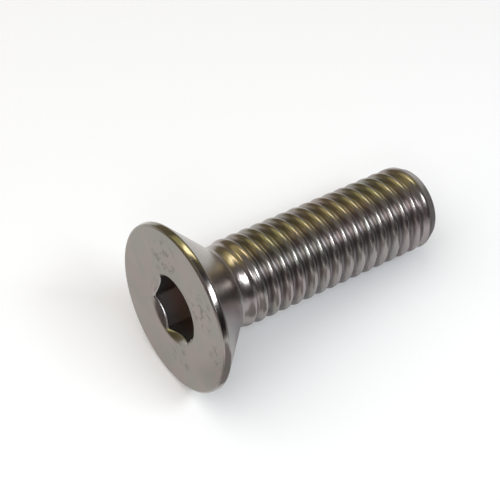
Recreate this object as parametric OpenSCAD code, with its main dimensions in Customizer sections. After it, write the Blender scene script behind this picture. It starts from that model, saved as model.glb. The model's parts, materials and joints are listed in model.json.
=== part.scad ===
// Countersunk head screw with a hexagon socket, M6 x 20, stainless steel.
// It is one cold-formed piece: a countersunk head with a narrow rounded rim, a hexagon socket punched into
// its flat face, a fillet and a short plain neck under the head, and a threaded shank with a chamfered tip.
// The shank stands at the diameter over the thread's crests, which is what passes through a hole.
// Units are millimetres. The screw lies on the ground plane, Z = 0, as it comes to rest: on the back edge of
// its rim and on the last crest before the tip, with its shank running towards +X. The ground under the
// middle of its length is the origin.

/* [Overall] */
// Length from the flat face to the tip
length = 20; // [15:0.5:30]

/* [Thread] */
// Diameter over the thread's crests
thread_d = 6; // [5:0.1:7.2]
// Distance from one crest to the next
thread_pitch = 1; // [0.8:0.05:1.25]

/* [Head] */
// Diameter of the rim
head_d = 11.6; // [9.7:0.1:13.9]
// Full angle of the countersink
cone_angle = 90; // [80:1:100]
// Height of the rim, from the flat face to the start of the cone
rim_h = 0.5; // [0.4:0.05:0.7]
// Radius of the rounding between the flat face and the rim
face_edge_r = 0.35; // [0.1:0.01:0.38]
// Radius of the small rounding between the rim and the cone
rim_edge_r = 0.08; // [0.02:0.01:0.12]

/* [Neck] */
// How far the plain neck lies below the crests, on the radius
neck_drop = 0.2; // [0.05:0.05:0.4]
// Length of the plain neck, from the end of the cone to the first thread
neck_len = 0.6; // [0.5:0.1:2]
// Radius of the fillet between the cone and the neck
neck_fillet_r = 0.6; // [0.1:0.1:0.9]

/* [Socket] */
// Width across flats of the hexagon key that fits the socket
key_size = 4; // [3.3:0.1:4.8]
// Play of the key in the socket, on the width across flats
key_play = 0.05; // [0.02:0.01:0.1]
// Depth of the hexagon's corners, from the flat face
socket_depth = 2.3; // [1.9:0.1:2.8]
// Full angle of the cone that the punch leaves in the socket's floor
floor_angle = 120; // [100:5:150]
// Width of the chamfer round the socket's mouth, outside the hexagon's corners
mouth_chamfer = 0.14; // [0.05:0.01:0.3]
// Full angle of the chamfer round the socket's mouth
mouth_angle = 100; // [90:5:120]
// Turn of the socket in the head, from a flat that faces upwards
socket_turn = 21; // [0:1:60]

/* [Tip] */
// Height of the tip's chamfer, on the radius
tip_chamfer = 0.45; // [0.3:0.05:0.7]
// Angle of the tip's chamfer to the axis
tip_angle = 30; // [20:1:50]
// Radius of the roundings at the two edges of the tip's chamfer
tip_edge_r = 0.3; // [0.05:0.05:0.5]

/* [Hidden] */
$fn = 96;
// Sides of a hexagon
HEX = 6;
// How much larger a rounding's disc is than its radius, so that it crosses the edges that it joins
HAIR = 0.001;
// How far outside the flat face a cut starts
SKIN = 0.01;
STEEL = [0.62, 0.59, 0.56];

// Radii
head_r = head_d / 2;
thread_r = thread_d / 2;
neck_r = thread_r - neck_drop;
tip_r = thread_r - tip_chamfer;

// Stations along the axis, measured from the flat face. The first thread rises from the neck to the crests
// over a quarter of a pitch.
cone_half = cone_angle / 2;
neck_start = rim_h + (head_r - neck_r) / tan(cone_half);
neck_end = neck_start + neck_len;
first_rise = thread_pitch / 4;
crest_start = neck_end + first_rise;
tip_start = length - tip_chamfer / tan(tip_angle);

// The blank's corners, as [radius, station]
face_corner = [head_r, 0];
rim_corner = [head_r, rim_h];
neck_corner = [neck_r, neck_start];
crest_corner = [thread_r, tip_start];
tip_corner = [tip_r, length];

// Angles of the edges that meet at those corners
ALONG = 90;
cone_dir = ALONG + cone_half;
tip_dir = ALONG + tip_angle;

// The socket
hex_af = key_size + key_play;
hex_r = hex_af / sqrt(3);
mouth_r = hex_r + mouth_chamfer;

// At rest the ground touches the rim's back edge and the last crest, both rounded. Its slope to the axis is
// that of the tangent that the two roundings share.
rim_centre = round_centre(rim_corner, cone_dir, ALONG + 180, rim_edge_r);
crest_centre = round_centre(crest_corner, tip_dir, ALONG + 180, tip_edge_r);
rest_span = crest_centre - rim_centre;
rest_tilt = atan2(-rest_span.x, rest_span.y) + asin((rim_edge_r - tip_edge_r) / norm(rest_span));
axis_h = rim_edge_r + rim_centre.x * cos(rest_tilt) + rim_centre.y * sin(rest_tilt);

// Ends of the lying screw along X, measured from the middle of its flat face
head_end_x = face_edge_r * (cos(rest_tilt) - 1) - (head_r - face_edge_r) * sin(rest_tilt);
tip_end_x = length * cos(rest_tilt) + tip_r * sin(rest_tilt);
mid_x = (head_end_x + tip_end_x) / 2;

function toward(angle) = [cos(angle), sin(angle)];
function reverse(list) = [for (i = [len(list) - 1:-1:0]) list[i]];

// A rounding of radius r in a corner whose edges leave it at the angles a and b: the points where it starts
// and ends on those edges, and its centre
function round_ends(corner, a, b, r) =
    [for (angle = [a, b]) corner + r / tan((b - a) / 2) * toward(angle)];
function round_centre(corner, a, b, r) = corner + r / sin((b - a) / 2) * toward((a + b) / 2);

// The disc that makes a rounding
module round_disc(corner, a, b, r) {
    translate(round_centre(corner, a, b, r))
        circle(r + HAIR);
}

// Half of the blank's section: radius along X, station along Y. Each rounded corner is cut straight across,
// and its disc then fills it out, or hollows it in the corner under the head.
module blank_section() {
    difference() {
        polygon(concat(
            [[0, 0]],
            reverse(round_ends(face_corner, ALONG, 180, face_edge_r)),
            reverse(round_ends(rim_corner, cone_dir, ALONG + 180, rim_edge_r)),
            round_ends(neck_corner, cone_dir - 180, ALONG, neck_fillet_r),
            [[neck_r, neck_end], [thread_r, crest_start]],
            reverse(round_ends(crest_corner, tip_dir, ALONG + 180, tip_edge_r)),
            reverse(round_ends(tip_corner, 180, tip_dir + 180, tip_edge_r)),
            [[0, length]]
        ));
        round_disc(neck_corner, cone_dir - 180, ALONG, neck_fillet_r);
    }
    round_disc(face_corner, ALONG, 180, face_edge_r);
    round_disc(rim_corner, cone_dir, ALONG + 180, rim_edge_r);
    round_disc(crest_corner, tip_dir, ALONG + 180, tip_edge_r);
    round_disc(tip_corner, 180, tip_dir + 180, tip_edge_r);
}

// A cone that points into the head from just outside the flat face, with the radius r at a station
module punch_cone(r, station, angle) {
    depth = station + r / tan(angle / 2) + SKIN;
    translate([0, 0, -SKIN])
        cylinder(r1 = depth * tan(angle / 2), r2 = 0, h = depth);
}

// What the punch takes out of the head: a hexagon that ends in a cone, and the chamfer round its mouth
module socket() {
    intersection() {
        rotate(180 - socket_turn - 180 / HEX)
            translate([0, 0, -SKIN])
                cylinder(r = hex_r, h = length, $fn = HEX);
        punch_cone(hex_r, socket_depth, floor_angle);
    }
    punch_cone(mouth_r, 0, mouth_angle);
}

// The screw with its flat face on Z = 0 and its tip up. The socket's flat faces -X, which turns upwards when
// the screw is laid down.
module upright_screw() {
    difference() {
        rotate_extrude()
            blank_section();
        socket();
    }
}

module countersunk_screw() {
    color(STEEL)
        translate([-mid_x, 0, axis_h])
            rotate([0, 90 + rest_tilt, 0])
                upright_screw();
}

countersunk_screw();
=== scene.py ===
# %% [markdown]
# # A countersunk socket screw, M6 x 20, in stainless steel
# The screw is one cold-formed piece. A flat head with a punched hexagon runs down a cone into a short
# plain neck, and a rolled thread covers the rest of the shank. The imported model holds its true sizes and
# its place on the ground, but its plain shank only stands for the thread. So this lesson models the whole
# screw again with the real helix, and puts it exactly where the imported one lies. Shapes are made in
# millimetres with the screw standing on its flat face, and are turned and scaled to metres at the end.

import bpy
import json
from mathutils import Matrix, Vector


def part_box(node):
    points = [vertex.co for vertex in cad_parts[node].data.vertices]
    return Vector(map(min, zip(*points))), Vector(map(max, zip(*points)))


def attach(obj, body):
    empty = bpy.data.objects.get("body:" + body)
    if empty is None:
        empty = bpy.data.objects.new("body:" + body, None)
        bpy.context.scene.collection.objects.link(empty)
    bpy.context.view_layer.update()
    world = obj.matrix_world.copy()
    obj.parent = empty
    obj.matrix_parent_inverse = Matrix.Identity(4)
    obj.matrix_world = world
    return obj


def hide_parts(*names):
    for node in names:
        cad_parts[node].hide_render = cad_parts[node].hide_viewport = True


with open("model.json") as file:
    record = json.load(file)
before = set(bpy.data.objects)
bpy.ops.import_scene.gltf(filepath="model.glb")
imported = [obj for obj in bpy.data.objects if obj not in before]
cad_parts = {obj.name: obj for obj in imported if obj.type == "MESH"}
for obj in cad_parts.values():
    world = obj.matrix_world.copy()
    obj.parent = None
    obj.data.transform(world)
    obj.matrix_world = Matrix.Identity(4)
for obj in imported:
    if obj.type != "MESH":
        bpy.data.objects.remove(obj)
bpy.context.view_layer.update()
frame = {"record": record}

# %% Helpers from Blender and Python
import json
from math import atan2, cos, degrees, hypot, pi, radians, sin, tan

import bmesh
import bpy
from mathutils import Matrix, Vector

MM = 0.001
NODE = "countersunk_screw"

# %% [markdown]
# ## Where the screw lies
# The screw rests on the back edge of its rim and on its last thread, so its axis dips towards the tip.
# The record's mounts say where the middle of the flat face is and which way the shank points. Three
# directions make the screw's own axes: along the shank, upwards square to it, and the third across. A
# matrix of these three and the face's middle takes the standing screw to its place. Reading them from the
# record is safer than typing them again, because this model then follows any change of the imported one.

# %% The screw's axes and its place
mounts = {mount["name"]: mount for mount in frame["record"]["mounts"]}
along = Vector(mounts["shank"]["axis"]).normalized()
upwards = (Vector((0, 0, 1)) - along * along.z).normalized()
across = along.cross(upwards)
face_middle = Vector(mounts["key_socket"]["pos_m"])
place = Matrix((upwards, across, along)).transposed().to_4x4()
place.translation = face_middle
print("the shank dips by", round(degrees(atan2(-along.z, along.x)), 2), "degrees")

# %% [markdown]
# ## Sizes
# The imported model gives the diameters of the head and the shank. The rest are the sizes of a standard M6
# screw with a 90 degree head, as a drawing would give them: radii from the axis, and stations along it,
# measured from the flat face.

# %% Sizes of the screw, in millimetres
lowest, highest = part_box(NODE)
head_r = (highest.y - lowest.y) / 2 / MM
blank_r = mounts["shank"]["dims"]["r_mm"]
length = 20.0
rim_h = 0.5
neck_drop = 0.2
neck_r = blank_r - neck_drop
neck_fillet_r = 0.6
pitch = 1.0
tip_chamfer = 0.45
tip_angle = radians(30)
tip_edge_r = 0.3
tip_start = length - tip_chamfer / tan(tip_angle)
print("head", round(2 * head_r, 2), "mm, shank", 2 * blank_r, "mm, length", length, "mm")

# %% [markdown]
# ## Outlines with rounded corners
# Everything on the screw but its hexagon and its thread is round about the axis, so an outline of radius
# and station, spun once round, makes it. The outline is given by its sharp corners, each with the radius
# of its rounding, as on a drawing. A helper replaces each corner by an arc that touches both of its
# edges. A Bevel modifier could round the finished mesh too, but it gives all edges one width, and here
# each has its own.

# %% A path with rounded corners
ARC_STEPS = 6

def rounded(corners):
    """Points of a path through corners, each given as radius, station and rounding."""
    path = [Vector(corners[0][:2])]
    for before, corner, after in zip(corners, corners[1:], corners[2:]):
        middle, rounding = Vector(corner[:2]), corner[2]
        to_before = (Vector(before[:2]) - middle).normalized()
        to_after = (Vector(after[:2]) - middle).normalized()
        half = to_before.angle(to_after) / 2
        centre = middle + (to_before + to_after).normalized() * rounding / sin(half)
        start = middle + to_before * rounding / tan(half) - centre
        end = middle + to_after * rounding / tan(half) - centre
        for step in range(ARC_STEPS + 1):
            path.append(centre + rounding * start.normalized().slerp(end.normalized(), step / ARC_STEPS))
    path.append(Vector(corners[-1][:2]))
    return path

quarter = rounded([(0, 1, 0), (1, 1, 1), (1, 0, 0)])
middle = quarter[len(quarter) // 2]
print("a quarter round has", len(quarter), "points, its middle at radius", round(middle.length, 3))

# %% [markdown]
# ## The head
# A header presses the head from a wire blank: a flat face, a narrow rim with soft edges, the 90 degree
# cone and a fillet that runs into the neck. Between face and rim lies a narrow land that leans back a
# little, and it catches the long bright line round the head. The outline starts at the mouth of the
# socket and ends on the neck, just before the thread. It is spun with its first column turned to a corner
# of the hexagon, so that the hexagon's corners fall on columns of the mesh.

# %% Sizes of the socket and the neck
COLUMNS = 144
SIDES = 6
key_size = 4.0
key_play = 0.05
hex_apothem = (key_size + key_play) / 2
hex_corner_r = hex_apothem / cos(pi / SIDES)
mouth_chamfer = 0.14
mouth_r = hex_corner_r + mouth_chamfer
mouth_half = radians(50)
socket_depth = 2.3
floor_half = radians(60)
flat_turn = -radians(21)
corner_turn = flat_turn + pi / SIDES
neck_start = rim_h + head_r - neck_r
bare_neck = 0.4
thread_from = neck_start + bare_neck
print("the cone ends at", round(neck_start, 2), "mm and the thread starts at", round(thread_from, 2), "mm")

# %% Sizes of the rim
face_inset = 0.2
face_r = head_r - face_inset
face_round = 0.04
land_inset = 0.06
land_r = head_r - land_inset
land_depth = 0.1
land_round = 0.12
back_round = 0.28
land_width = hypot(land_r - face_r, land_depth)
print("the face is", round(2 * face_r, 2), "mm wide and the land", round(land_width, 2), "mm")

# %% Spin an outline once round the axis
GAP = 0.03
SAME_POINT = 0.001

def draw_outline(mesh, path):
    """Draws an outline of radius and station. Gives back its corners and the chain of its edges."""
    corners = [mesh.verts.new((radius, 0, station)) for radius, station in path]
    return corners, [mesh.edges.new(pair) for pair in zip(corners, corners[1:])]

def spin_once(mesh, path, turn=0.0):
    """Spins an outline once round the axis, from the angle turn."""
    corners, chain = draw_outline(mesh, path)
    bmesh.ops.rotate(mesh, verts=corners, cent=(0, 0, 0), matrix=Matrix.Rotation(turn, 3, "Z"))
    bmesh.ops.spin(mesh, geom=corners + chain, cent=(0, 0, 0), axis=(0, 0, 1), angle=2 * pi, steps=COLUMNS,
                   use_merge=True)

# %% [markdown]
# The key rubs the mouth of the socket, and its edge there is also made lighter as a painted highlight.
# That wear and highlight need a place on the mesh, so a layer for them is made first, before any corner
# exists, because a layer that is added later loses the corners that were held before. One more ring of
# corners close to the mouth keeps the wear from spreading over the whole face.

# %% Spin the head
WORN_WIDTH = 0.12
screw = bmesh.new()
worn_and_highlight = screw.verts.layers.float.new("worn_and_highlight")
head_outline = rounded([
    (mouth_r, 0, 0),
    (face_r, 0, face_round),
    (land_r, land_depth, land_round),
    (head_r, rim_h, back_round),
    (neck_r, neck_start, neck_fillet_r),
    (neck_r, thread_from - GAP, 0),
])
head_outline.insert(1, Vector((mouth_r + WORN_WIDTH, 0)))
spin_once(screw, head_outline, corner_turn)
print("the head has", len(screw.faces), "faces")

# %% [markdown]
# ## The socket
# A punch leaves a hexagon whose floor is a shallow cone, and the mouth has a round chamfer. The chamfer
# is a cone too, so where it meets the six flats it leaves six scallops. A boolean would cut them, but it
# leaves long thin faces that shade badly. The open ring at the mouth is extruded instead: first inwards
# onto the hexagon, at the depth where the chamfer reaches it, then straight down to the cone of the
# floor, and last to the middle.

# %% Extrude an open ring
def open_ring(mesh, low, high):
    """The edges of the open border whose stations lie between low and high."""
    return [edge for edge in mesh.edges
            if edge.is_boundary and all(low < corner.co.z < high for corner in edge.verts)]

def extrude_ring(mesh, ring, move):
    """Extrudes an open ring and moves each new corner. Returns the new open ring."""
    grown = bmesh.ops.extrude_edge_only(mesh, edges=ring)["geom"]
    for corner in [item for item in grown if isinstance(item, bmesh.types.BMVert)]:
        corner.co = move(corner.co)
    return [item for item in grown if isinstance(item, bmesh.types.BMEdge) and item.is_boundary]

ring = open_ring(screw, -GAP, GAP)
print("the mouth has", len(ring), "edges")

# %% The shape of the hexagon, its chamfer and its floor
def chamfer_depth(radius):
    """The station of the mouth's chamfer at a radius."""
    return (mouth_r - radius) / tan(mouth_half)

def floor_depth(radius):
    """The station of the socket's floor at a radius."""
    return socket_depth + (hex_corner_r - radius) / tan(floor_half)

def on_hexagon(corner, depth_at):
    """The point of the hexagon in a corner's direction, at a depth that depends on its radius."""
    angle = atan2(corner.y, corner.x)
    side = (angle - corner_turn) % (2 * pi / SIDES) - pi / SIDES
    radius = hex_apothem / cos(side)
    return Vector((radius * cos(angle), radius * sin(angle), depth_at(radius)))

flat_depth = chamfer_depth(hex_apothem)
print("scallops", round(flat_depth, 2), "mm deep, floor", round(floor_depth(0), 2), "mm deep in its middle")

# %% Extrude the mouth into the socket
FLOOR_RINGS = (0.5, 0.9, 1)
ring = extrude_ring(screw, ring, lambda corner: on_hexagon(corner, chamfer_depth))
ring = extrude_ring(screw, ring, lambda corner: corner + Vector((0, 0, WORN_WIDTH)))
ring = extrude_ring(screw, ring, lambda corner: on_hexagon(corner, floor_depth))
floor_middle = Vector((0, 0, floor_depth(0)))
for share in FLOOR_RINGS:
    ring = extrude_ring(screw, ring, lambda corner: floor_middle + (corner - floor_middle) * (1 - share))
bmesh.ops.remove_doubles(screw, verts=screw.verts, dist=SAME_POINT)
bmesh.ops.recalc_face_normals(screw, faces=screw.faces)
print("head and socket have", len(screw.faces), "faces")

# %% [markdown]
# Punching and tumbling leave no edge quite sharp, and a thin bright line along an edge is what makes
# metal look solid. The sharp edges inside the mouth are found by the angle between their faces and
# bevelled, and the mouth's own edge gets a narrower bevel. The bevel where the chamfer meets the flats is
# where the key rubs, so its corners are marked in the layer that makes them lighter: wear, and a painted
# highlight along that edge.

# %% Soften the punched edges
PUNCHED_EDGE = 0.09
MOUTH_EDGE = 0.05
SHARP = radians(25)

def soften(mesh, low, high, width):
    """Rounds the sharp edges of the socket whose stations lie between low and high."""
    sharp = [edge for edge in mesh.edges
             if edge.is_manifold and edge.calc_face_angle() > SHARP
             and all(hex_apothem / 2 < hypot(*corner.co.xy) < mouth_r + GAP and low < corner.co.z < high
                     for corner in edge.verts)]
    print("softened edges:", len(sharp))
    return bmesh.ops.bevel(mesh, geom=sharp, offset=width, segments=3, profile=0.5, affect="EDGES",
                           material=-1)

softened = soften(screw, GAP, length, PUNCHED_EDGE)
# the corners of this bevel are made lighter later: wear, and a painted highlight along the edge
soft_faces = set(softened["faces"])
for corner in softened["verts"]:
    if corner.co.z < flat_depth + PUNCHED_EDGE / 2 and soft_faces.issuperset(corner.link_faces):
        corner[worn_and_highlight] = 1
soften(screw, -GAP, GAP, MOUTH_EDGE)

# %% [markdown]
# Three tools touch the steel and leave three skins: the header's dies form the head, the punch tears
# along the socket's walls, and the rolling dies press the thread. Each skin has a material slot of its
# own, and the faces of the socket's walls and floor are given theirs here.

# %% The faces that the punch left
FORMED, PUNCHED, ROLLED = range(3)
for face in screw.faces:
    middle = face.calc_center_median()
    if hypot(*middle.xy) < mouth_r and middle.z > flat_depth + PUNCHED_EDGE:
        face.material_index = PUNCHED
for title, skin_slot in (("formed", FORMED), ("punched", PUNCHED)):
    print(title, "faces:", sum(face.material_index == skin_slot for face in screw.faces))

# %% [markdown]
# ## The thread
# The thread is rolled: dies press the grooves and the metal flows up into the crests, so crests and roots
# are both rounded. One pitch of the outline, from flank to flank, is repeated up the shank and spun once
# round while each step also climbs by its share of the pitch. That is what a screw is, and the spin
# operator makes it in one call. A few turns too many are made. Neighbouring turns share their border and
# are merged, and two planes cut the helix square at both ends. A Screw modifier would do the same, but
# its ends couldn't be cut and joined to the head and the tip.

# %% One pitch of the thread
crest_play = 0.03
crest_r = blank_r - crest_play
crest_round = 0.28
root_round = 0.16
flank_half = radians(30)
sharp_h = pitch / 2 / tan(flank_half)
sharp_crest_r = crest_r + crest_round * (1 / sin(flank_half) - 1)
sharp_root_r = sharp_crest_r - sharp_h
flank_r = (sharp_crest_r + sharp_root_r) / 2
groove = rounded([
    (flank_r, -pitch / 4, 0),
    (sharp_crest_r, 0, crest_round),
    (sharp_root_r, pitch / 2, root_round),
    (flank_r, 3 * pitch / 4, 0),
])
print("the thread is", round(crest_r - min(point.x for point in groove), 2), "mm deep")

# %% Spin the helix
TURNS_BEFORE = 2
SPARE_TURNS = 3
ON_PLANE = SAME_POINT / 100
first_crest = 0.05
bare_tip = 0.5
thread_to = length - bare_tip
turns = round((thread_to - thread_from) / pitch) + SPARE_TURNS
start = first_crest + pitch * round(thread_from / pitch - TURNS_BEFORE)
helix = bmesh.new()
flanks = [(radius, start + station + turn * pitch)
          for turn in range(turns) for radius, station in groove[:-1]]
corners, chain = draw_outline(helix, flanks)
bmesh.ops.spin(helix, geom=corners + chain, cent=(0, 0, 0), axis=(0, 0, 1), dvec=(0, 0, pitch / COLUMNS),
               angle=2 * pi, steps=COLUMNS)
bmesh.ops.remove_doubles(helix, verts=helix.verts, dist=SAME_POINT)
for station, outwards in ((thread_from, -1), (thread_to, 1)):
    everything = helix.verts[:] + helix.edges[:] + helix.faces[:]
    bmesh.ops.bisect_plane(helix, geom=everything, dist=ON_PLANE, plane_co=(0, 0, station),
                           plane_no=(0, 0, outwards), clear_outer=True)
for face in helix.faces:
    face.material_index = ROLLED
print("the helix has", len(helix.faces), "faces and", turns, "turns")

# %% [markdown]
# The dies leave the first and last groove unfinished. Near the head the groove starts shallow on the
# plain neck, and the crest rises out of it within a turn. At the tip the blank was chamfered before
# rolling, so crest and groove both fade over the chamfer. Each corner of the helix is moved on its
# radius: its depth below the crest is multiplied by how far the groove is finished at its station, and
# the blank's outline is the limit. This keeps one even mesh, where a boolean with the tip's cone would
# leave slivers.

# %% The outline of the tip
tip_outline = rounded([
    (crest_r, 0, 0),
    (crest_r, tip_start, tip_edge_r),
    (blank_r - tip_chamfer, length, tip_edge_r),
    (0, length, 0),
])

def outline_r(station):
    """The radius of the chamfered end at a station."""
    for below, above in zip(tip_outline, tip_outline[1:]):
        if below.y <= station < above.y:
            return below.x + (above.x - below.x) * (station - below.y) / (above.y - below.y)
    return tip_outline[-1].x

print("radius where the thread ends:", round(outline_r(thread_to), 2), "mm")

# %% Fade the thread in and out
CREST_RUN_IN = 0.9
GROOVE_RUN_IN = 1.8
RUN_OUT_BEFORE = 1.0
RUN_OUT_AFTER = 0.2

def ease(value, low, high):
    """Goes smoothly from 0 at low to 1 at high."""
    share = min(max((value - low) / (high - low), 0), 1)
    return share * share * (3 - 2 * share)

for corner in helix.verts:
    radius, station = hypot(*corner.co.xy), corner.co.z
    run_out = ease(station, tip_start - RUN_OUT_BEFORE, tip_start + RUN_OUT_AFTER)
    finished = ease(station, thread_from, thread_from + GROOVE_RUN_IN) * (1 - run_out)
    risen = ease(station, thread_from, thread_from + CREST_RUN_IN)
    crest = neck_r + (crest_r - neck_r) * risen
    corner.co.xy *= min(crest - (crest_r - radius) * finished, outline_r(station)) / radius
full_from, full_to = thread_from + GROOVE_RUN_IN, tip_start - RUN_OUT_BEFORE
print("full depth from", round(full_from, 2), "to", round(full_to, 2), "mm")

# %% [markdown]
# ## Tip, joints and place
# The tip's outline is spun on its own and closes at the axis. Head, thread and tip then stand in one mesh
# with a hair's gap between them, and bridge_loops sews each pair of borders together, so that the screw
# is one closed skin as the real one is. The volume shows that it is closed and right side out. Last it is
# scaled to metres and laid in its place inside the mesh itself, so that the object stays at the origin,
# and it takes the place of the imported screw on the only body, root.

# %% Close the tip and join the parts
helix_mesh = bpy.data.meshes.new("helix")
helix.to_mesh(helix_mesh)
helix.free()
screw.from_mesh(helix_mesh)
bpy.data.meshes.remove(helix_mesh)
tip_path = [Vector((outline_r(thread_to + GAP), thread_to + GAP))]
tip_path += [point for point in tip_outline if point.y > thread_to + 2 * GAP]
spin_once(screw, tip_path)
on_axis = [corner for corner in screw.verts if hypot(*corner.co.xy) < GAP]
bmesh.ops.remove_doubles(screw, verts=on_axis, dist=SAME_POINT)
for station in (thread_from, thread_to):
    border = open_ring(screw, station - 2 * GAP, station + 2 * GAP)
    bmesh.ops.bridge_loops(screw, edges=border)
bmesh.ops.recalc_face_normals(screw, faces=screw.faces)
open_edges = sum(not edge.is_manifold for edge in screw.edges)
print("open edges:", open_edges, "volume:", round(screw.calc_volume(), 1), "mm3")

# %% Lay the screw in its place
bmesh.ops.transform(screw, matrix=place @ Matrix.Scale(MM, 4), verts=screw.verts)
screw_mesh = bpy.data.meshes.new("stainless_screw")
screw.to_mesh(screw_mesh)
screw.free()
screw_mesh.shade_smooth()
piece = bpy.data.objects.new("stainless_screw", screw_mesh)
bpy.context.collection.objects.link(piece)
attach(piece, "root")
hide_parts(NODE)
print("the screw has", len(screw_mesh.polygons), "faces")

# %% [markdown]
# ## Stainless steel
# Cold-formed stainless steel is tumbled after forming, which leaves a satin skin: fine grain, a few small
# dents and a surface that is never quite flat, so that reflections waver. Its colour drifts in soft
# patches between a warm and a greenish grey. The three skins of this screw are put together from the same
# few effects, and each effect is a node group, so that it is built once and takes other values in each
# material. A few helpers keep the node trees short to read.

# %% Helpers for nodes
def connect(tree, inputs, name, value):
    """Gives an input a plain value or a link from another node."""
    if isinstance(value, bpy.types.NodeSocket):
        tree.links.new(value, inputs[name])
    else:
        inputs[name].default_value = value

def node(tree, kind, inputs, **settings):
    """Adds a shader node with its settings and inputs."""
    new = tree.nodes.new("ShaderNode" + kind)
    for name, value in settings.items():
        setattr(new, name, value)
    for name, value in inputs.items():
        connect(tree, new.inputs, name, value)
    return new

def calculate(tree, operation, first, second=0.0):
    """A number worked out from one or two others."""
    return node(tree, "Math", {0: first, 1: second}, operation=operation).outputs["Value"]

def share_between(tree, value, low, high):
    """Goes smoothly from 0 where the value is low to 1 where it is high."""
    inputs = {"Value": value, "From Min": low, "From Max": high}
    return node(tree, "MapRange", inputs, interpolation_type="SMOOTHSTEP").outputs["Result"]

def blend(tree, share, first, second):
    """A colour that goes from the first to the second."""
    mix = node(tree, "Mix", {"Factor": share, "A": first, "B": second}, data_type="RGBA")
    return mix.outputs["Result"]

# %% Helpers for effects
def effect(name, inputs, outputs):
    """An empty node group with named inputs and outputs."""
    group = bpy.data.node_groups.new(name, "ShaderNodeTree")
    for label, kind in inputs.items():
        group.interface.new_socket(label, in_out="INPUT", socket_type="NodeSocket" + kind)
    for label, kind in outputs.items():
        group.interface.new_socket(label, in_out="OUTPUT", socket_type="NodeSocket" + kind)
    given = group.nodes.new("NodeGroupInput").outputs
    result = group.nodes.new("NodeGroupOutput").inputs
    print("effect:", name, "takes", list(inputs), "and gives", list(outputs))
    return group, given, result

def use(tree, group, inputs):
    """Places an effect in a tree and gives back its outputs."""
    placed = tree.nodes.new("ShaderNodeGroup")
    placed.node_tree = group
    for name, value in inputs.items():
        connect(tree, placed.inputs, name, value)
    return placed.outputs

# %% [markdown]
# ### Where a point is on the screw
# Most of what happens to a screw happens at a certain distance from its axis or along it: the roots are
# darkened as painted shade, crests are rubbed bright. So the first effect turns a point into its station
# and its radius.

# %% Effect: station and radius
places, given, result = effect("places", {"Vector": "Vector"}, {"Station": "Float", "Radius": "Float"})
parts = node(places, "SeparateXYZ", {"Vector": given["Vector"]}).outputs
square_x = calculate(places, "MULTIPLY", parts["X"], parts["X"])
square_y = calculate(places, "MULTIPLY", parts["Y"], parts["Y"])
radius = calculate(places, "SQRT", calculate(places, "ADD", square_x, square_y))
places.links.new(radius, result["Radius"])
places.links.new(parts["Z"], result["Station"])

# %% [markdown]
# ### Patches of two tints
# Tumbled steel isn't one colour. A slow noise blends two tints, and its scale is left to each material,
# because the patches run larger on the shank than on the head.

# %% Effect: soft patches
PATCH_FROM = 0.35
PATCH_TO = 0.65
patches, given, result = effect("patches", {"Vector": "Vector", "Per mm": "Float", "First": "Color",
                                            "Second": "Color"}, {"Color": "Color"})
cloud = node(patches, "TexNoise", {"Vector": given["Vector"], "Scale": given["Per mm"], "Detail": 3.0})
cloudy = share_between(patches, cloud.outputs["Fac"], PATCH_FROM, PATCH_TO)
patches.links.new(blend(patches, cloudy, given["First"], given["Second"]), result["Color"])

# %% [markdown]
# ### The tumbled skin
# The skin is a height in millimetres: a fine grain, slow waves that make reflections waver, and a few
# shallow pits where the parts knocked together. It goes through a Bump node, because displacing a mesh by
# a few thousandths of a millimetre would need far more faces and would look the same.

# %% Effect: skin
GRAIN_PER_MM = 9.0
WAVES_PER_MM = 0.9
PITS_PER_MM = 1.7
PIT_DEPTH = 0.003
PIT_SIZE = 0.16
skin, given, result = effect("tumbled skin", {"Vector": "Vector", "Grain": "Float", "Waves": "Float"},
                             {"Height": "Float"})
grain = node(skin, "TexNoise", {"Vector": given["Vector"], "Scale": GRAIN_PER_MM, "Detail": 3.0})
waves = node(skin, "TexNoise", {"Vector": given["Vector"], "Scale": WAVES_PER_MM, "Detail": 1.0})
cells = node(skin, "TexVoronoi", {"Vector": given["Vector"], "Scale": PITS_PER_MM})
raised = share_between(skin, cells.outputs["Distance"], 0.0, PIT_SIZE)
pits = calculate(skin, "MULTIPLY", raised, PIT_DEPTH)
grain_height = calculate(skin, "MULTIPLY", grain.outputs["Fac"], given["Grain"])
wave_height = calculate(skin, "MULTIPLY", waves.outputs["Fac"], given["Waves"])
height = calculate(skin, "ADD", calculate(skin, "ADD", grain_height, wave_height), pits)
skin.links.new(height, result["Height"])

# %% [markdown]
# ### Broken edges
# Wear never ends in a clean line, and the painted shade is kept from it too. This effect takes a share that
# a rule of place gives, such as how near the root a point is, and breaks its edge up with a noise.

# %% Effect: a mask with a broken edge
MEAN_NOISE = 0.5
EDGE_FROM = 0.15
EDGE_TO = 0.85
broken, given, result = effect("broken mask", {"Vector": "Vector", "Share": "Float", "Per mm": "Float"},
                               {"Mask": "Float"})
cloud = node(broken, "TexNoise", {"Vector": given["Vector"], "Scale": given["Per mm"], "Detail": 4.0})
added = calculate(broken, "ADD", given["Share"], cloud.outputs["Fac"])
lifted = calculate(broken, "SUBTRACT", added, MEAN_NOISE)
shown = calculate(broken, "MULTIPLY", share_between(broken, lifted, EDGE_FROM, EDGE_TO), given["Share"])
broken.links.new(shown, result["Mask"])

# %% [markdown]
# ### Scuffs on the face
# The flat face has dull marks where it knocked and slid against other screws. They are a warped noise,
# cut off so that only its peaks show, and only in a few round spots, because marks all over would read as
# dirt. The spots are given in the face's own coordinates, in millimetres from its middle.

# %% Effect: scuffs
SCUFFED_SPOTS = [((3.5, -1.5, 0), 2.0), ((2.7, 2.8, 0), 1.9), ((0.6, 5.0, 0), 1.2), ((-3.2, 1.5, 0), 1.4)]
SPOT_CORE = 0.3
SCUFFS_PER_MM = 1.9
SCUFF_FROM = 0.5
SCUFF_TO = 0.64

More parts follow.
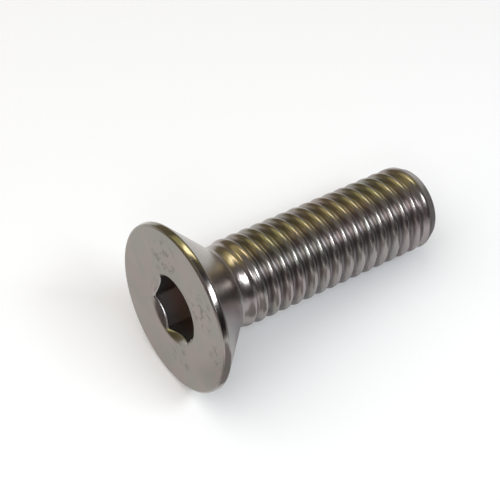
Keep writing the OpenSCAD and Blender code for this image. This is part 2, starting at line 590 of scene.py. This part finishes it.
def spot(tree, vector, centre, size):
    """A soft round spot: 1 near its centre and 0 beyond its size."""
    away = node(tree, "VectorMath", {0: vector, 1: centre}, operation="DISTANCE").outputs["Value"]
    return share_between(tree, away, size, SPOT_CORE * size)

scuffs, given, result = effect("scuffs", {"Vector": "Vector"}, {"Mask": "Float"})
marks = node(scuffs, "TexNoise", {"Vector": given["Vector"], "Scale": SCUFFS_PER_MM, "Detail": 3.0,
                                  "Roughness": 0.6, "Distortion": 0.5}).outputs["Fac"]
area = 0.0
for centre, size in SCUFFED_SPOTS:
    area = calculate(scuffs, "MAXIMUM", spot(scuffs, given["Vector"], centre, size), area)
peaks = calculate(scuffs, "MULTIPLY", share_between(scuffs, marks, SCUFF_FROM, SCUFF_TO), area)
scuffs.links.new(peaks, result["Mask"])

# %% [markdown]
# ### Painted shade in the corner under the head
# The corner between the cone and the first thread is painted darker, as painted shade.
# The corner belongs to two materials, the head's and the thread's, and both take it from this one effect,
# so that no line shows where they meet. The painted shade grows and ends between two pairs of stations.

# %% Effect: painted shade in the corner
# these three set how dark the painted shade in the corner is and where it grows and ends
CORNER_SHADE_SHARE = 0.1
CORNER_SHADE_GROWS = (0.35, 1.6)
CORNER_SHADE_ENDS = (4.8, 3.6)
corner_shade, given, result = effect("painted shade in the corner", {"Vector": "Vector", "Station": "Float"},
                                   {"Mask": "Float"})
enters = share_between(corner_shade, given["Station"], *CORNER_SHADE_GROWS)
leaves = share_between(corner_shade, given["Station"], *CORNER_SHADE_ENDS)
corner_share = calculate(corner_shade, "MULTIPLY", calculate(corner_shade, "MULTIPLY", enters, leaves), CORNER_SHADE_SHARE)
mask = use(corner_shade, broken, {"Vector": given["Vector"], "Share": corner_share, "Per mm": 1.1})["Mask"]
corner_shade.links.new(mask, result["Mask"])

# %% [markdown]
# ## What the three steels share
# All three are bare metal: fully metallic, with the colour of the metal itself and no paint or coat over
# it. Their patterns must lie on the screw and not on the world, so the object's coordinates are taken
# back to the standing screw's own axes, in millimetres. A Mapping node of the Texture kind undoes a
# place, turn and scale, which is just that.

# %% Colours of the steel
WARM_GREY = (0.37, 0.315, 0.30, 1)
GREEN_GREY = (0.33, 0.315, 0.285, 1)
# the next colour is wear on the rim and crests, and round the socket's mouth also a painted highlight
WORN_AND_HIGHLIGHT = (0.62, 0.60, 0.59, 1)
# the next colour darkens the corner under the head and the thread's roots: it is painted shade
PAINTED_SHADE_GREY = (0.17, 0.148, 0.148, 1)
SCUFFED = (0.22, 0.195, 0.18, 1)
# the next two colours paint the socket's walls: a painted reflection near the mouth, painted shade deeper
# down
PAINTED_REFLECTION_BLUE = (0.35, 0.375, 0.41, 1)
PAINTED_SHADE_BROWN = (0.36, 0.28, 0.25, 1)

# %% A steel with its skin on
def steel(name, grain, waves):
    """A steel material. Gives back its tree, its shader, a point's station and radius, and the point."""
    material = bpy.data.materials.new(name)
    material.use_nodes = True
    tree = material.node_tree
    shader = tree.nodes["Principled BSDF"]
    shader.inputs["Metallic"].default_value = 1
    coordinates = node(tree, "TexCoord", {}).outputs["Object"]
    own = node(tree, "Mapping", {"Vector": coordinates, "Location": place.translation,
                                 "Rotation": place.to_euler(), "Scale": (MM, MM, MM)},
               vector_type="TEXTURE").outputs["Vector"]
    height = use(tree, skin, {"Vector": own, "Grain": grain, "Waves": waves})["Height"]
    bump = node(tree, "Bump", {"Height": height, "Strength": 1.0, "Distance": MM})
    tree.links.new(bump.outputs["Normal"], shader.inputs["Normal"])
    screw_mesh.materials.append(material)
    print("steel:", name, "with grain", grain, "mm and waves", waves, "mm")
    return tree, shader, use(tree, places, {"Vector": own}), own

# %% [markdown]
# ## The head's steel
# The head is satin on its flat face, where the tumbling worked most, and smoother on the cone and the
# rim, which kept the polish of the dies. On it lie the patches, painted shade towards the neck, the scuffs
# on the face, the bright wear on the rim, and round the mouth a lighter edge that is wear and a painted
# highlight. Each is blended over the one before, and each fades between two stations.

# %% Formed steel: colour
DIE_GRAIN = 0.0016
DIE_WAVES = 0.012
FACE_ENDS = (0.12, 0.02)
tree, shader, where, own = steel("formed steel", DIE_GRAIN, DIE_WAVES)
greys = {"First": WARM_GREY, "Second": GREEN_GREY}
tint = use(tree, patches, {"Vector": own, "Per mm": 0.55, **greys})["Color"]
# painted shade in the corner towards the neck
painted_shade = use(tree, corner_shade, {"Vector": own, "Station": where["Station"]})["Mask"]
on_face = share_between(tree, where["Station"], *FACE_ENDS)
scuffed = calculate(tree, "MULTIPLY", use(tree, scuffs, {"Vector": own})["Mask"], on_face)
marked = blend(tree, scuffed, blend(tree, painted_shade, tint, PAINTED_SHADE_GREY), SCUFFED)

# %% Formed steel: wear and roughness
FACE_ROUGHNESS = 0.44
CONE_ROUGHNESS = 0.25
RIM_POLISH = 0.08
POLISH_ENDS = (0.7, 0.5)
RIM_WEAR = 0.1
WEAR_ENDS = (1.0, 0.4)
# the marked corners round the mouth are lighter: wear and a painted highlight
rub_and_highlight = node(tree, "Attribute", {}, attribute_name="worn_and_highlight").outputs["Fac"]
rim = calculate(tree, "MULTIPLY", share_between(tree, where["Radius"], face_r, head_r),
                share_between(tree, where["Station"], *WEAR_ENDS))
rim_share = calculate(tree, "MULTIPLY", rim, RIM_WEAR)
polish = use(tree, broken, {"Vector": own, "Share": rim_share, "Per mm": 2.5})["Mask"]
wear_and_highlight_mask = calculate(tree, "MAXIMUM", rub_and_highlight, polish)
tree.links.new(blend(tree, wear_and_highlight_mask, marked, WORN_AND_HIGHLIGHT), shader.inputs["Base Color"])
on_rim = calculate(tree, "MULTIPLY", share_between(tree, where["Station"], *POLISH_ENDS), RIM_POLISH)
rough = node(tree, "MapRange", {"Value": on_face, "To Min": CONE_ROUGHNESS, "To Max": FACE_ROUGHNESS})
tree.links.new(calculate(tree, "SUBTRACT", rough.outputs["Result"], on_rim), shader.inputs["Roughness"])

# %% [markdown]
# ## The socket's steel
# The punch drags the metal down its walls, so they are rougher than the rest. Near the mouth they are
# bluish grey, a painted reflection, and deeper down they turn a darker brown, a painted shade in the
# recess. Its edge at the chamfer is lighter, as wear and a painted highlight.

# %% Punched steel
PUNCH_GRAIN = 0.002
PUNCH_WAVES = 0.02
PUNCHED_ROUGHNESS = 0.38
PAINTED_SHADE_DEPTHS = (0.5, 1.7)
tree, shader, where, own = steel("punched steel", PUNCH_GRAIN, PUNCH_WAVES)
# the walls go from a painted reflection at the mouth to painted shade at depth
depth = share_between(tree, where["Station"], *PAINTED_SHADE_DEPTHS)
rub_and_highlight = node(tree, "Attribute", {}, attribute_name="worn_and_highlight").outputs["Fac"]
tint = blend(tree, rub_and_highlight, blend(tree, depth, PAINTED_REFLECTION_BLUE, PAINTED_SHADE_BROWN), WORN_AND_HIGHLIGHT)
tree.links.new(tint, shader.inputs["Base Color"])
shader.inputs["Roughness"].default_value = PUNCHED_ROUGHNESS

# %% [markdown]
# ## The thread's steel
# Rolling dies burnish the thread, so it is as smooth as the cone. The roots are painted darker, as painted
# shade, and the crests are rubbed bright. Both follow the radius, which is why the fading grooves at the
# ends stay unshaded without being told to: they aren't deep enough. Only on the chamfer of the tip, which
# has a small radius and no groove, the painted shade is held back by the station.

# %% Rolled steel
CREST_ROUGHNESS = 0.25
ROOT_ROUGHNESS = 0.32
ROOT_SHADE = 0.75
CREST_WEAR = 0.2
CREST_FOOT_R = 2.88
SHADED_ROOT_R = 2.6
UNSHADED_TIP = 0.5
tree, shader, where, own = steel("rolled steel", DIE_GRAIN, DIE_WAVES)
tint = use(tree, patches, {"Vector": own, "Per mm": 0.35, **greys})["Color"]
# the roots are painted darker towards the root radius, as painted shade, except on the tip's chamfer
root = calculate(tree, "MULTIPLY", share_between(tree, where["Radius"], CREST_FOOT_R, SHADED_ROOT_R),
                 share_between(tree, where["Station"], tip_start, tip_start - UNSHADED_TIP))
root_shade = use(tree, broken, {"Vector": own, "Share": root, "Per mm": 1.4})["Mask"]
held_shade = use(tree, corner_shade, {"Vector": own, "Station": where["Station"]})["Mask"]
painted_shade = calculate(tree, "MAXIMUM", calculate(tree, "MULTIPLY", root_shade, ROOT_SHADE), held_shade)
on_crest = share_between(tree, where["Radius"], CREST_FOOT_R, crest_r)
crest = calculate(tree, "MULTIPLY", on_crest, CREST_WEAR)
polish = use(tree, broken, {"Vector": own, "Share": crest, "Per mm": 2.0})["Mask"]
tree.links.new(blend(tree, polish, blend(tree, painted_shade, tint, PAINTED_SHADE_GREY), WORN_AND_HIGHLIGHT), shader.inputs["Base Color"])
rough = node(tree, "MapRange", {"Value": root, "To Min": CREST_ROUGHNESS, "To Max": ROOT_ROUGHNESS})
tree.links.new(rough.outputs["Result"], shader.inputs["Roughness"])

# %% [markdown]
# ## The table
# The screw lies on a sheet of white paper. A single large square is enough. It is matt, and a little
# under full white where it lights the screw, as real paper is. More light would make it whiter but would
# spoil the steel, so only its colour is raised, and only where it is seen, by the camera or in a
# reflection. It keeps the soft shadow in which a small part is seen to lie.

# %% A matt material
def matt(name, tint):
    """Paper or cloth: one colour, with no gloss."""
    material = bpy.data.materials.new(name)
    material.use_nodes = True
    shader = material.node_tree.nodes["Principled BSDF"]
    shader.inputs["Base Color"].default_value = (*tint, 1)
    shader.inputs["Roughness"].default_value = 1
    return material

def stand(name, shape, tint):
    """Puts a shape of paper or cloth on the stage, round the screw."""
    mesh = bpy.data.meshes.new(name)
    shape.to_mesh(mesh)
    shape.free()
    mesh.materials.append(matt(name, tint))
    thing = bpy.data.objects.new(name, mesh)
    bpy.context.collection.objects.link(thing)
    return thing

# %% Floor
FLOOR_HALF = 1.0
PAPER = (0.9, 0.9, 0.9)
PAPER_SEEN = (1.0, 0.995, 0.995)
sheet = bmesh.new()
bmesh.ops.create_grid(sheet, x_segments=1, y_segments=1, size=FLOOR_HALF)
floor = stand("white paper", sheet, PAPER)
print("the floor is", 2 * FLOOR_HALF, "m wide")

# %% The paper as the camera and the steel see it
tree = floor.active_material.node_tree
rays = node(tree, "LightPath", {}).outputs
seen = calculate(tree, "MAXIMUM", rays["Is Camera Ray"], rays["Is Glossy Ray"])
seen = calculate(tree, "MAXIMUM", seen, rays["Is Transmission Ray"])
tint = blend(tree, seen, (*PAPER, 1), (*PAPER_SEEN, 1))
tree.links.new(tint, tree.nodes["Principled BSDF"].inputs["Base Color"])
print("paper:", PAPER, "where it lights the screw,", PAPER_SEEN, "where it is seen")

# %% [markdown]
# ## Lamps
# Bare metal shows its lamps more than its colour, so the lamps are placed where the screw reflects them.
# Each is a softbox, given by the direction and the angles at which the screw sees it. A long white one
# draws the bright line down the rim and the row of white glints along the thread, and a small one beside
# it lights the left wall of the socket. A warm one and a wide gold wall behind make the row of gold
# glints higher up. Those two don't light matt things, so that the paper stays white, and the large
# ceiling does the opposite: it lights the paper and doesn't show in the steel. The world is a dim warm
# grey, like a plain room.

# %% World
ROOM_GREY = (0.24, 0.23, 0.22, 1)
world = bpy.data.worlds.new("room")
world.use_nodes = True
world.node_tree.nodes["Background"].inputs["Color"].default_value = ROOM_GREY
bpy.context.scene.world = world
print("world:", world.name)

# %% A softbox
LAMP_DISTANCE = 150

def direction(azimuth, elevation):
    """Unit vector to a lamp. Azimuth 0 is +X and 90 is +Y."""
    a, e = radians(azimuth), radians(elevation)
    return Vector((cos(a) * cos(e), sin(a) * cos(e), sin(e)))

def softbox(name, azimuth, elevation, width, height, brightness, color, distance=LAMP_DISTANCE):
    """A rectangular lamp. The screw sees its width and height in degrees, and brightness 1 as white."""
    lamp = bpy.data.lights.new(name, "AREA")
    lamp.shape = "RECTANGLE"
    lamp.size = 2 * distance * MM * tan(radians(width / 2))
    lamp.size_y = 2 * distance * MM * tan(radians(height / 2))
    lamp.energy = brightness * pi * lamp.size * lamp.size_y
    lamp.color = color
    holder = bpy.data.objects.new(name, lamp)
    out = direction(azimuth, elevation)
    holder.rotation_euler = out.to_track_quat("Z", "Y").to_euler()
    holder.location = out * distance * MM
    bpy.context.collection.objects.link(holder)
    print("lamp:", name, round(lamp.size, 3), "by", round(lamp.size_y, 3), "m,", round(lamp.energy, 3), "W")
    return holder

# %% Lamps
WALL_DISTANCE = 200
softbox("white softbox", azimuth=-66, elevation=51.5, width=28, height=13,
        brightness=12.0, color=(0.87, 0.945, 1))
softbox("side softbox", azimuth=-132, elevation=40, width=18, height=12,
        brightness=4.0, color=(0.92, 0.96, 1))
warm = softbox("warm softbox", azimuth=43, elevation=59, width=24, height=14,
               brightness=3.4, color=(1, 0.925, 0.60))
wall = softbox("gold wall", azimuth=85, elevation=55, width=130, height=36,
               brightness=0.42, color=(0.98, 0.86, 0.10), distance=WALL_DISTANCE)
warm.visible_diffuse = False
wall.visible_diffuse = False
ceiling = softbox("ceiling softbox", azimuth=150, elevation=60, width=80, height=80,
                  brightness=1.12, color=(1, 0.985, 0.96))
ceiling.visible_glossy = False

# %% [markdown]
# ## Cards
# In a white room polished steel looks pale and flat. A jeweller puts black, grey and pale cards round a
# piece, so that its reflections have edges and its form reads. Standing cards are strips of a cylinder
# round the table, given by two azimuths and two elevations in degrees. Lying cards cover parts of the
# paper, given by two places along the screw and two across it in millimetres. The camera, the shadows and
# the light on matt things pass through them: only reflections see them, so the paper stays clean and the
# shadow soft. The card under the shank is painted shade, a dark sheet for the shade the screw casts there.

# %% Make a card
OUTER = 220
STRIP_STEPS = 24
CARD_LIFT = 0.05

def card(name, shape, tint):
    """A matt card that only reflections see."""
    thing = stand(name, shape, tint)
    thing.visible_camera = False
    thing.visible_diffuse = False
    thing.visible_shadow = False
    print("card:", name, "tint", tint)

def standing_card(name, azimuth_from, azimuth_to, low, high, tint, distance=OUTER):
    """A strip round the table between two azimuths, from one elevation to another."""
    strip = bmesh.new()
    reach = direction(azimuth_from, 0) * distance * MM
    heights = [distance * MM * tan(radians(elevation)) for elevation in (low, high)]
    ends = [strip.verts.new(reach + Vector((0, 0, height))) for height in heights]
    edge = strip.edges.new(ends)
    bmesh.ops.spin(strip, geom=ends + [edge], cent=(0, 0, 0), axis=(0, 0, 1),
                   angle=radians(azimuth_to - azimuth_from), steps=STRIP_STEPS)
    card(name, strip, tint)

def lying_card(name, x_from, x_to, y_from, y_to, tint):
    """A rectangle that lies on the paper."""
    sheet = bmesh.new()
    bmesh.ops.create_grid(sheet, x_segments=1, y_segments=1, size=0.5)
    bmesh.ops.scale(sheet, vec=((x_to - x_from) * MM, (y_to - y_from) * MM, 1), verts=sheet.verts)
    middle = Vector(((x_from + x_to) / 2, (y_from + y_to) / 2, CARD_LIFT))
    bmesh.ops.translate(sheet, vec=middle * MM, verts=sheet.verts)
    card(name, sheet, tint)

# %% Standing cards
INNER = 210
standing_card("grey cloth", -190, -150, 0, 33, (0.35, 0.32, 0.33))
standing_card("dark cloth", -150, -15, 0, 33, (0.16, 0.135, 0.15))
standing_card("light cloth", -15, 50, 0, 26, (0.62, 0.62, 0.60))
standing_card("olive cloth", 50, 170, 0, 33, (0.38, 0.33, 0.20))
standing_card("dark strip", -60, -20, 33, 76, (0.07, 0.06, 0.066), INNER)
standing_card("brown strip", -20, 4, 33, 76, (0.44, 0.385, 0.365), INNER)
standing_card("olive strip", 4, 36, 33, 76, (0.34, 0.285, 0.16), INNER)
standing_card("black strip", -95, -67, 8, 42, (0.02, 0.018, 0.02), INNER)

# %% Lying cards
lying_card("card before the tip", 14, 60, -60, 8, (0.22, 0.23, 0.24))
lying_card("card beside the tip", 10, 14, -60, 8, (0.30, 0.30, 0.30))
lying_card("card before the shank", -2, 10, -60, -3.5, (0.92, 0.92, 0.98))
lying_card("card before the head", -20, -2, -60, -6, (0.33, 0.32, 0.32))
# the next card is painted shade: it stands for the deep shade that the screw casts under itself
lying_card("painted shade under the shank", -7, 9, -3, 4, (0.58, 0.555, 0.585))
lying_card("card below the face", -18, -12.5, -6, -1, (0.6, 0.57, 0.57))
lying_card("card beside the face", -60, -12.5, -1, 60, (0.87, 0.87, 0.865))

# %% [markdown]
# ## Camera
# The screw is seen from its head's side and from well above, close up with a long lens, so that the face,
# the cone and the whole thread show at once. The camera is placed by the direction from which it looks
# and the point that it looks at, and the short clip distance suits a thing of two centimetres.

# %% Camera
camera_data = bpy.data.cameras.new("camera")
camera_data.lens = 98.9
camera_data.clip_start = 1 * MM
camera = bpy.data.objects.new("camera", camera_data)
azimuth, elevation, distance = radians(-34.98), radians(51.35), 91.9 * MM
aim = Vector((-2.05, 2.30, 4.05)) * MM
back = Vector((sin(azimuth) * cos(elevation), -cos(azimuth) * cos(elevation), sin(elevation)))
camera.location = aim + back * distance
camera.rotation_euler = back.to_track_quat("Z", "Y").to_euler()
bpy.context.collection.objects.link(camera)
bpy.context.scene.camera = camera
bpy.context.scene.view_settings.view_transform = "Standard"
print("camera at", [round(value / MM, 1) for value in camera.location], "mm")
